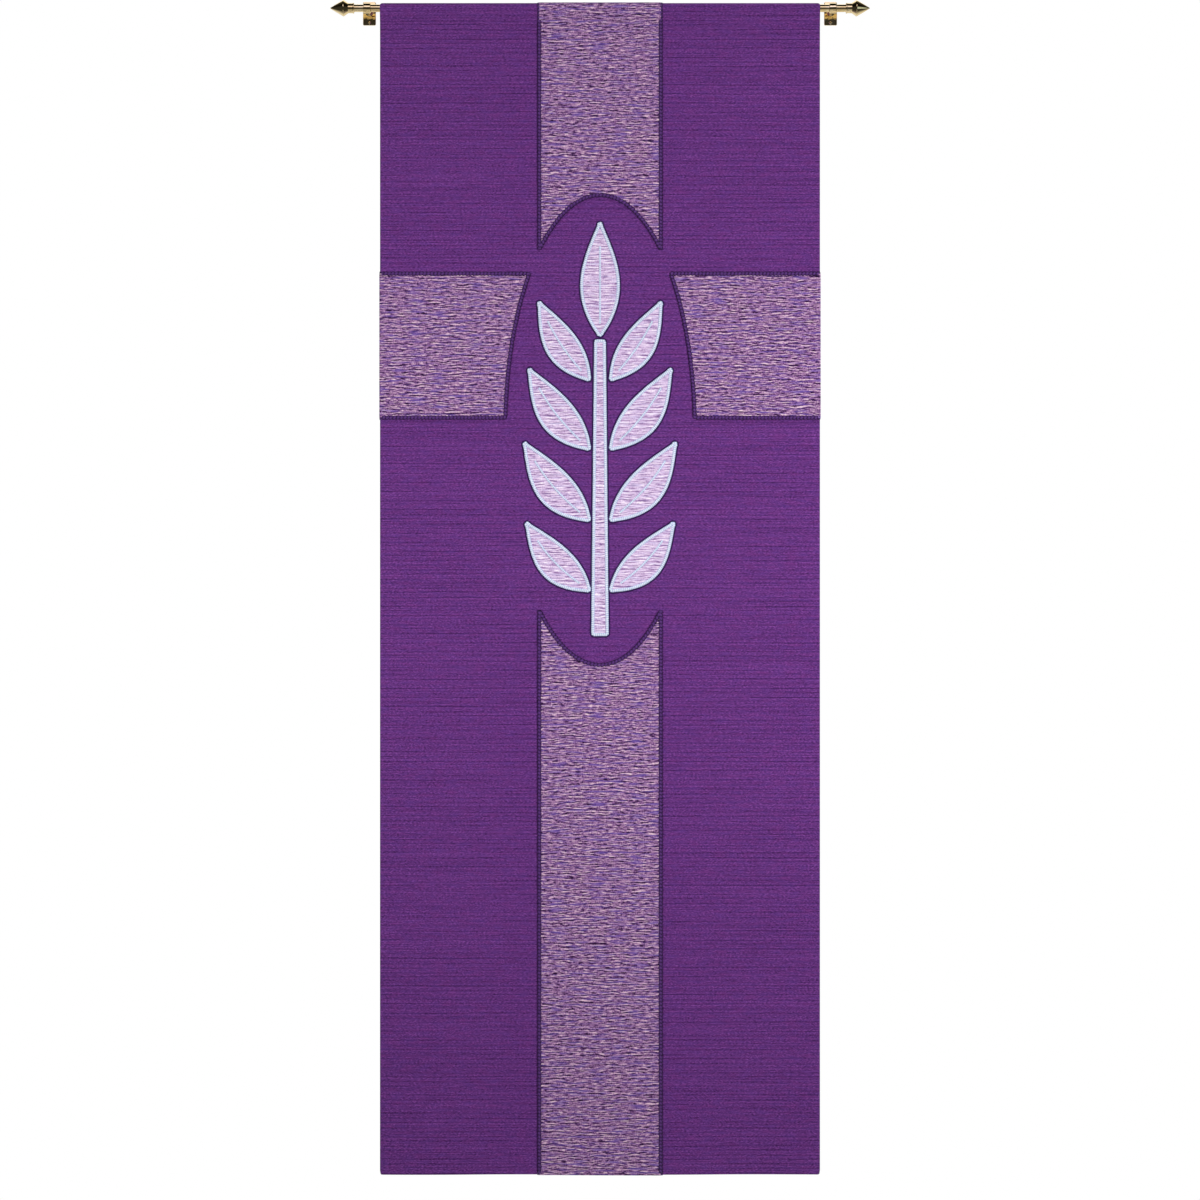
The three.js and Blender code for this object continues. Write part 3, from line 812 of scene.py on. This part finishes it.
def upright_arms():
    columns = steps_between(-UPRIGHT_HALF, UPRIGHT_HALF, SEWN_STEP)
    inner_top = rise_of(OVAL_DROP) + oval_half_height(columns)
    inner_foot = rise_of(OVAL_DROP) - oval_half_height(columns)

    shares = steps_between(0, 1, SEWN_STEP / (SEAM_RISE - inner_top.min()))[:, None]
    over = steps_between(SEAM_RISE, SLEEVE_END, SLEEVE_STEP)[1:, None] + 0 * columns
    rise = np.vstack([inner_top + (SEAM_RISE - inner_top) * shares, over])
    across = np.broadcast_to(columns, rise.shape)
    arm("top", across, rise)

    turn = np.pi * HEM_RADIUS
    behind = HEM_RADIUS - turn - (FOOT_HEM - HEM_RADIUS - SEWN_IN_HEM)
    shares = steps_between(0, 1, SEWN_STEP / inner_foot.max())[:, None]
    under = np.concatenate([
        steps_between(HEM_RADIUS, HEM_RADIUS - turn, turn / EDGE_STEPS)[1:],
        steps_between(HEM_RADIUS - turn, behind, SEWN_STEP)[1:],
    ])
    down = inner_foot + (HEM_RADIUS - inner_foot) * shares
    rise = np.vstack([down, under[:, None] + 0 * columns])
    across = np.broadcast_to(columns, rise.shape)
    arm("foot", across, rise)


def beam_arm(name, side):
    rows = steps_between(rise_of(BEAM_DROP) - BEAM_HALF, rise_of(BEAM_DROP) + BEAM_HALF, SEWN_STEP)
    inner = oval_half_width(rows)
    flat = CLOTH_HALF - HEM_RADIUS
    turn = np.pi * HEM_RADIUS
    behind = flat + turn + SIDE_HEM - HEM_RADIUS - SEWN_IN_HEM
    shares = steps_between(0, 1, SEWN_STEP / (flat - inner.min()))[:, None]
    round_edge = np.concatenate([
        steps_between(flat, flat + turn, turn / EDGE_STEPS)[1:],
        steps_between(flat + turn, behind, SEWN_STEP)[1:],
    ])
    across = np.vstack([inner + (flat - inner) * shares, round_edge[:, None] + 0 * rows])
    rise = np.broadcast_to(rows, across.shape)
    arm(name, side * across, rise)


# The leaf sprig.
def edge_path(across, rise):
    """The closed path round a grid of places."""
    grid = np.stack([across, rise], -1)
    return np.vstack([grid[:, 0], grid[-1, 1:-1], grid[::-1, -1], grid[0, -2:0:-1]])


def sprig_piece(name, across, rise, middle=None):
    """A pale piece with its corded edge, the dark line of painted shade outside that, and a leaf's
    middle line.
    """
    sheet = sewn_sheet(f"{name}_sheet", name, across, rise, PALE)
    edge, _ = rounded(edge_path(across, rise), EDGING["step"], True, EDGING["soften"])
    # Just outside the edging runs a dark plum cord of painted shade.
    outside = outward_shift(edge, SHADE_LINE_OUT)
    trim = [
        cord(f"{name}_edging", edge, True, EDGING, ICE_CORD),
        cord(f"{name}_outline", outside, True, SHADE_LINE_CORD, SHADE_LINE_THREAD),
    ]
    if middle is not None:
        trim.append(cord(f"{name}_midrib", middle, False, MIDRIB, ICE_CORD))


def stem():
    length = STEM_FOOT_DROP - STEM_TOP_DROP
    shares = steps_between(0, 1, SEWN_STEP / length)[:, None]
    width = STEM_FOOT_WIDTH + (STEM_TOP_WIDTH - STEM_FOOT_WIDTH) * shares
    across = width * np.linspace(-0.5, 0.5, STEM_COLUMNS)
    rise = rise_of(STEM_FOOT_DROP - length * shares) + 0 * across
    sprig_piece("sprig_stem", across, rise)


# The stitched middle line of a leaf, as shares of its length.
MIDRIB_FROM, MIDRIB_TO = 0.1, 0.8


def leaf(name, side, sizes):
    drop, length, width, lean, bow = sizes
    drop, length, width, bow = drop * MM, length * MM, width * MM, bow * MM
    angle = math.radians(lean) * side
    along = np.array([math.sin(angle), math.cos(angle)])
    beside = np.array([along[1], -along[0]])
    foot = np.array([side * LEAF_OFF_CENTRE, rise_of(drop)])
    shares = steps_between(0, 1, SEWN_STEP / length)
    half = np.maximum(width * np.sin(np.pi * shares**LEAF_FULLEST), LEAF_END_WIDTH) / 2
    bowed = side * bow * np.sin(np.pi * shares)
    centre = foot + shares[:, None] * length * along + bowed[:, None] * beside
    spread = half[:, None] * np.linspace(-1, 1, LEAF_COLUMNS)
    across = centre[:, :1] + spread * beside[0]
    rise = centre[:, 1:] + spread * beside[1]
    inside = (shares > MIDRIB_FROM) & (shares < MIDRIB_TO)
    sprig_piece(name, across, rise, centre[inside])


# Turned and cast brass. A softened corner takes at most one of SIDE_PARTS of each side next to it.
ROUND_STEPS = 72
CURVE_POINTS = 13
CORNER_POINTS = 4
SIDE_PARTS = 2.5
NEAR_AXIS = 0.1 * MM


def softened(profile, radius):
    """A profile of points with its inner corners turned into small curves."""
    profile = np.asarray(profile, float)
    points = [profile[0]]
    for before, corner, after in zip(profile, profile[1:], profile[2:]):
        to_before, to_after = np.hypot(*(before - corner)), np.hypot(*(after - corner))
        reach = min(radius, to_before / SIDE_PARTS, to_after / SIDE_PARTS)
        start = corner + (before - corner) * reach / to_before
        end = corner + (after - corner) * reach / to_after
        for share in np.linspace(0, 1, CORNER_POINTS):
            inner = start + (corner - start) * share
            points.append(inner + (corner + (end - corner) * share - inner) * share)
    points.append(profile[-1])
    return np.array(points)


def turned(profile, axis, origin):
    """Points and faces of a solid turned about an axis, from pairs of radius and distance along."""
    axis = np.array(axis, float)
    first = np.array([0.0, 0.0, 1.0])
    second = np.cross(axis, first)
    angles = np.arange(ROUND_STEPS) * 2 * np.pi / ROUND_STEPS
    ring = np.cos(angles)[:, None] * first + np.sin(angles)[:, None] * second
    profile = np.asarray(profile, float)
    points = profile[:, :1, None] * ring + profile[:, 1:, None] * axis + np.array(origin)
    return points.reshape(-1, 3), facing_out(points, solid_faces(len(profile), ROUND_STEPS))


def joined(*solids):
    """Several solids as the points and faces of one piece."""
    faces, count = [], 0
    for points, own_faces in solids:
        faces += [[corner + count for corner in face] for face in own_faces]
        count += len(points)
    return np.vstack([points for points, _ in solids]), faces


def brass_piece(name, node, solid):
    piece = add_piece(name, *solid, BRASS, SHARP_BRASS)
    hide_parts(node)


# A finial's socket, lip, collar and ridge: radius and distance from its mouth, in mm.
FINIAL_PROFILE = (
    (0, 10),
    (8.3, 10),
    (8.3, 0),
    (11.2, 0),
    (11.2, 2.4),
    (10.4, 2.8),
    (10.4, 12),
    (17, 21.4),
    (17, 22.4),
)
FINIAL_TIP = (1.2, 48.8)
FINIAL_POINT = (0.02, 50)
FINIAL_SWELL = 0.4
FINIAL_SOFTEN = 0.5
ROD_IN_FINIAL = 9 * MM
ROD_SOFTEN = 0.6 * MM


def curve(start, bend, end):
    """Points of a curve from start to end that leaves and arrives towards a bend."""
    shares = np.linspace(0, 1, CURVE_POINTS)[:, None]
    return (1 - shares) ** 2 * start + 2 * shares * (1 - shares) * bend + shares**2 * end


def finial_profile():
    """Socket, lip, collar, ridge and spear of a finial, from its mouth to its tip."""
    ridge, tip = np.array(FINIAL_PROFILE[-1]), np.array(FINIAL_TIP)
    spear = curve(ridge, (ridge + tip) / 2 + FINIAL_SWELL, tip)[1:]
    outline = softened(np.vstack([FINIAL_PROFILE, spear[:1]]), FINIAL_SOFTEN)[:-1]
    return np.vstack([outline, spear, [FINIAL_POINT]]) * MM


# Brackets and their screws.
PLATE_HALF_WIDTH = 13.5 * MM
PLATE_HALF_HEIGHT = 24.5 * MM
PLATE_THICK = 3 * MM
PLATE_CORNER = 2.8 * MM
PLATE_BEVEL = 0.8 * MM
BACK_BEVEL = 0.3 * PLATE_BEVEL
BEVEL_STEPS = 5
PLATE_CORNER_POINTS = 7
PLATE_DROP = 4 * MM
BRACKET_OUT = 482 * MM
BRACKET_REACH = 45 * MM
POST_RADIUS, POST_FLARE, POST_FLARE_LENGTH = 5.2 * MM, 9.5 * MM, 9 * MM
EYE_RADIUS, EYE_HALF, EYE_OUT = 11 * MM, 7.5 * MM, 2 * MM
EYE_SOFTEN = 1.1 * MM
SCREW_OFF = 19 * MM
SCREW_HEAD, SCREW_DOME, SCREW_SHANK = 3.4 * MM, 1.9 * MM, 1.8 * MM
SCREW_CROWN = 0.05 * MM
SCREW_SUNK = 0.02 * MM
DOME_POINTS = 9


def plate(x):
    """A bracket's flat-backed plate with rounded corners and a soft front edge."""
    quarter = np.linspace(0, np.pi / 2, PLATE_CORNER_POINTS)
    bevel = np.linspace(0, np.pi / 2, BEVEL_STEPS)
    insets = np.concatenate([[BACK_BEVEL, 0], PLATE_BEVEL * (1 - np.cos(bevel))])
    fronts = np.concatenate([
        [0, BACK_BEVEL], PLATE_THICK - PLATE_BEVEL + PLATE_BEVEL * np.sin(bevel)
    ])
    rings = []
    for inset, front in zip(insets, fronts):
        radius = PLATE_CORNER - inset
        ring = []
        for k, (right, up) in enumerate(((1, 1), (-1, 1), (-1, -1), (1, -1))):
            centre_x = right * (PLATE_HALF_WIDTH - PLATE_CORNER)
            centre_z = up * (PLATE_HALF_HEIGHT - PLATE_CORNER)
            angles = quarter + k * np.pi / 2
            ring.append(np.column_stack([
                x + centre_x + radius * np.cos(angles),
                np.full(len(angles), ROD_Y + BRACKET_REACH - front),
                ROD_Z - PLATE_DROP + centre_z + radius * np.sin(angles),
            ]))
        rings.append(np.vstack(ring))
    points = np.array(rings)
    return points.reshape(-1, 3), facing_out(points, solid_faces(*points.shape[:2]))


def post(x):
    """The turned post from the eye back to the plate, flared at its root."""
    root = BRACKET_REACH - PLATE_THICK
    start = np.array([POST_RADIUS, root - POST_FLARE_LENGTH])
    bend = np.array([POST_RADIUS, root])
    end = np.array([POST_FLARE, root])
    inside = ROD_RADIUS + GAP
    near_eye = [[NEAR_AXIS, inside], [POST_RADIUS, inside]]
    profile = np.vstack([near_eye, curve(start, bend, end), [[NEAR_AXIS, root]]])
    return turned(profile, (0, 1, 0), (x, ROD_Y, ROD_Z))


def eye(x):
    """The ring that the rod passes through."""
    bore = ROD_RADIUS + GAP
    outline = [(bore, -EYE_HALF), (EYE_RADIUS, -EYE_HALF), (EYE_RADIUS, EYE_HALF), (bore, EYE_HALF)]
    ring = np.array([outline[-1], *outline, outline[0]])
    profile = np.vstack([softened(ring, EYE_SOFTEN)[1:-1], [[bore, 0]]])
    angles = np.arange(ROUND_STEPS) * 2 * np.pi / ROUND_STEPS
    points = np.stack([
        np.broadcast_to(x + profile[:, 1], (ROUND_STEPS, len(profile))),
        ROD_Y + np.outer(np.sin(angles), profile[:, 0]),
        ROD_Z + np.outer(np.cos(angles), profile[:, 0]),
    ], -1)
    return points.reshape(-1, 3), facing_out(points, tube_faces(*points.shape[:2], True))


def screw(x, z):
    """A round-headed screw through a plate."""
    dome = np.linspace(0, np.pi / 2, DOME_POINTS)
    seat = PLATE_THICK + GAP
    head = np.column_stack([
        np.maximum(SCREW_HEAD * np.cos(dome), SCREW_CROWN), seat + SCREW_DOME * np.sin(dome)
    ])
    profile = np.vstack([[[SCREW_SHANK, SCREW_SUNK], [SCREW_SHANK, seat]], head])
    return turned(profile, (0, -1, 0), (x, ROD_Y + BRACKET_REACH, z))


def brass_fittings():
    half = [(NEAR_AXIS, ROD_HALF), (ROD_RADIUS, ROD_HALF)]
    bar = [(radius, -along) for radius, along in half] + half[::-1]
    brass_piece("rod_bar", "rod", turned(softened(bar, ROD_SOFTEN), (1, 0, 0), (0, ROD_Y, ROD_Z)))
    for name, side in SIDES.items():
        mouth = (side * (ROD_HALF - ROD_IN_FINIAL), ROD_Y, ROD_Z)
        finial = turned(finial_profile(), (side, 0, 0), mouth)
        brass_piece(f"finial_{name}_turned", f"finial_{name}", finial)
        x = side * BRACKET_OUT
        bracket = joined(plate(x), post(x), eye(x + side * EYE_OUT))
        brass_piece(f"bracket_{name}_cast", f"bracket_{name}", bracket)
        for end, up in (("top", 1), ("foot", -1)):
            solid = screw(x, ROD_Z - PLATE_DROP + up * SCREW_OFF)
            brass_piece(f"screw_{name}_{end}_head", f"screw_{name}_{end}", solid)


# Stitches that show on the back: the hems' and the sleeve's.
STITCH = {"length": 3.4 * MM, "pitch": 5.2 * MM, "half_width": 0.6 * MM, "height": 0.6 * MM}
STITCH_SIDES = 5
STITCH_POINTS = 5
STITCH_ENDS = 0.04
SEAM_STITCH_UP = 5 * MM
HEM_STITCH_IN = 4 * MM


def stitches(name, starts, ends, surface):
    """Rows of short stitches from starts to ends, in (x, rise), laid on the cloth's back."""
    shares = np.linspace(0, 1, STITCH_POINTS)
    turns = np.linspace(0, 2 * np.pi, STITCH_SIDES + 1)[:-1]
    arch = np.sqrt(np.maximum(1 - (2 * shares - 1) ** 2, STITCH_ENDS))
    side = arch[:, None] * STITCH["half_width"] * np.cos(turns)
    up = arch[:, None] * STITCH["height"] * np.sin(turns)
    one = solid_faces(STITCH_POINTS, STITCH_SIDES)
    solids, threads = [], []
    for start, end in zip(np.array(starts), np.array(ends)):
        length = np.hypot(*(end - start))
        ahead = (end - start) / length
        beside = np.array([ahead[1], -ahead[0]])
        count = int(length / STITCH["pitch"])
        for first in (np.arange(count) + 0.5) * length / count - STITCH["length"] / 2:
            run = first + shares * STITCH["length"]
            flat = start + run[:, None, None] * ahead + side[..., None] * beside
            solids.append((surface(flat[..., 0], flat[..., 1], up).reshape(-1, 3), one))
            # The arch also sets the stitch's colour: a painted highlight where it rises and painted
            # shade at its ends.
            thread = np.stack(np.broadcast_arrays(run[:, None], turns, arch[:, None]), -1)
            threads.append(thread.reshape(-1, 3))
    points, faces = joined(*solids)
    faces = facing_out(points, faces)
    piece = add_piece(name, points, faces, PURPLE_THREAD, SHARP_CORD, thread=np.vstack(threads))
    return piece


def hem_stitches():
    """Stitches that hold the side hems and the foot hem, on the back."""
    side_x = CLOTH_HALF - SIDE_HEM + HEM_STITCH_IN
    foot_rise = FOOT_HEM - HEM_STITCH_IN
    starts = [(-side_x, foot_rise), (side_x, foot_rise), (-side_x, foot_rise)]
    ends = [(-side_x, HEM_TOP_RISE), (side_x, HEM_TOP_RISE), (side_x, foot_rise)]

    def hem_back(x, rise, up):
        return hang(x, rise, -2 * HEM_RADIUS - up)

    return stitches("hem_stitches", starts, ends, hem_back)


def seam_stitches():
    """Stitches that close the sleeve, on the flap at its back."""
    rise = SLEEVE_END - SEAM_STITCH_UP
    half = CLOTH_HALF - 2 * HEM_RADIUS
    return stitches("sleeve_stitches", [(-half, rise)], [(half, rise)], hang)


# The whole object.
def banner():
    cloth = banner_cloth()
    upright_arms()
    for name, side in SIDES.items():
        beam_arm(name, side)
        for number, sizes in enumerate(LEAF_PAIRS, 1):
            leaf(f"leaf_{name}_{number}", side, sizes)
    stem()
    leaf("leaf_tip", 0, TIP_LEAF)
    brass_fittings()
    sewing = [hem_stitches(), seam_stitches()]


banner()


# Stage: a pale floor below, and a white surround.
FLOOR_BELOW = 0.65
FLOOR_RADIUS = 1.5
FLOOR_SIDES = 96
FLOOR_CLOUDS = (3, 3, 3)
FLOOR_TONES = ((0.3, rgb(226, 226, 226)), (0.7, rgb(236, 236, 236)))

# How bright the surround is: from in front of the banner to behind it, and dimmer upward.
SURROUND = {
    "Y": {"From Min": -0.2, "From Max": 0.5, "To Min": 0.04, "To Max": 0.9},
    "Z": {"From Min": 0.1, "From Max": 0.5, "To Min": 1.0, "To Max": 0.1},
}

# Soft lights on the cloth: place, what each faces, width and height, and watts.
WHITE = (1.0, 1.0, 1.0)
LIGHTS = {
    "left_key": ((-1.5, -1.7, 0.05), (0, 0, 0.05), (0.9, 0.9), 26.2),
    "right_key": ((1.5, -1.7, 0.05), (0, 0, 0.05), (0.9, 0.9), 36),
    "overhead": ((0.3, -1.4, 3.6), (0, 0, 1.0), (2.4, 1.2), 56),
    "rear": ((2.6, 1.7, 1.6), (0, 0, 0), (1.6, 1.6), 120),
}

# Cards that only gleam in the brass, facing the middle of the rod: place, size, watts and tint.
ROD_MIDDLE = (0, 0, 1.2)
CARDS = {
    "upper_card": ((0, -2.1, 2.53), (3.6, 1.3), 24, (0.85, 0.8, 1.0)),
    "back_card": ((0, 1.75, 3.0), (3.6, 1.8), 26, WHITE),
    "lower_card": ((0, -1.4, -0.5), (3.6, 1.6), 7.5, WHITE),
    "left_card": ((-2.4, 0.5, 1.2), (1.0, 2.0), 12, WHITE),
    "right_card": ((2.3, -0.95, 1.2), (0.8, 0.8), 1.6, (0.72, 0.9, 1.0)),
}


def floor():
    shade = Shade("pale_floor")
    position = shade.add("TexCoord", {}).outputs["Object"]
    cloud = shade.noise(position, FLOOR_CLOUDS, detail=2)
    angles = np.arange(FLOOR_SIDES) * 2 * np.pi / FLOOR_SIDES
    z = cloth_low.z - FLOOR_BELOW
    points = np.column_stack([
        FLOOR_RADIUS * np.cos(angles), FLOOR_RADIUS * np.sin(angles), np.full(FLOOR_SIDES, z)
    ])
    mesh = bpy.data.meshes.new("floor")
    mesh.from_pydata(points.tolist(), [], [list(range(FLOOR_SIDES))])
    mesh.materials.append(shade.finish(Base_Color=shade.ramp(cloud, *FLOOR_TONES), Roughness=0.8))
    disc = bpy.data.objects.new("floor", mesh)
    bpy.context.scene.collection.objects.link(disc)


def surround():
    """White in the picture. For everything else, bright low behind and dim in front and above."""
    world = bpy.data.worlds.new("surround")
    world.use_nodes = True
    tree = world.node_tree
    toward = tree.nodes.new("ShaderNodeTexCoord")
    split = tree.nodes.new("ShaderNodeSeparateXYZ")
    path = tree.nodes.new("ShaderNodeLightPath")
    tree.links.new(toward.outputs["Generated"], split.inputs[0])
    spans = []
    for axis, sockets in SURROUND.items():
        span = tree.nodes.new("ShaderNodeMapRange")
        tree.links.new(split.outputs[axis], span.inputs["Value"])
        for socket, value in sockets.items():
            span.inputs[socket].default_value = value
        spans.append(span.outputs[0])
    strength, upward = spans
    for operation, second in (("MULTIPLY", upward), ("MAXIMUM", path.outputs["Is Camera Ray"])):
        node = tree.nodes.new("ShaderNodeMath")
        node.operation = operation
        tree.links.new(strength, node.inputs[0])
        tree.links.new(second, node.inputs[1])
        strength = node.outputs[0]
    tree.links.new(strength, tree.nodes["Background"].inputs["Strength"])
    tree.nodes["Background"].inputs["Color"].default_value = (*WHITE, 1.0)
    bpy.context.scene.world = world


def softbox(name, location, target, size, watts, tint, on_cloth):
    """A soft light on the cloth, or one that only shows as a gleam in the brass."""
    light = bpy.data.lights.new(name, "AREA")
    light.shape = "RECTANGLE"
    light.size, light.size_y = size
    light.energy = watts
    light.color = tint
    lamp = bpy.data.objects.new(name, light)
    bpy.context.scene.collection.objects.link(lamp)
    lamp.location = location
    lamp.visible_camera = False
    lamp.visible_glossy = not on_cloth
    lamp.visible_diffuse = on_cloth
    aim = Vector(target) - Vector(location)
    lamp.rotation_euler = aim.to_track_quat("-Z", "Y").to_euler()


floor()
surround()
for light_name, (location, target, size, watts) in LIGHTS.items():
    softbox(light_name, location, target, size, watts, WHITE, on_cloth=True)
for card_name, (location, size, watts, tint) in CARDS.items():
    softbox(card_name, location, ROD_MIDDLE, size, watts, tint, on_cloth=False)
bpy.context.scene.view_settings.view_transform = "Standard"
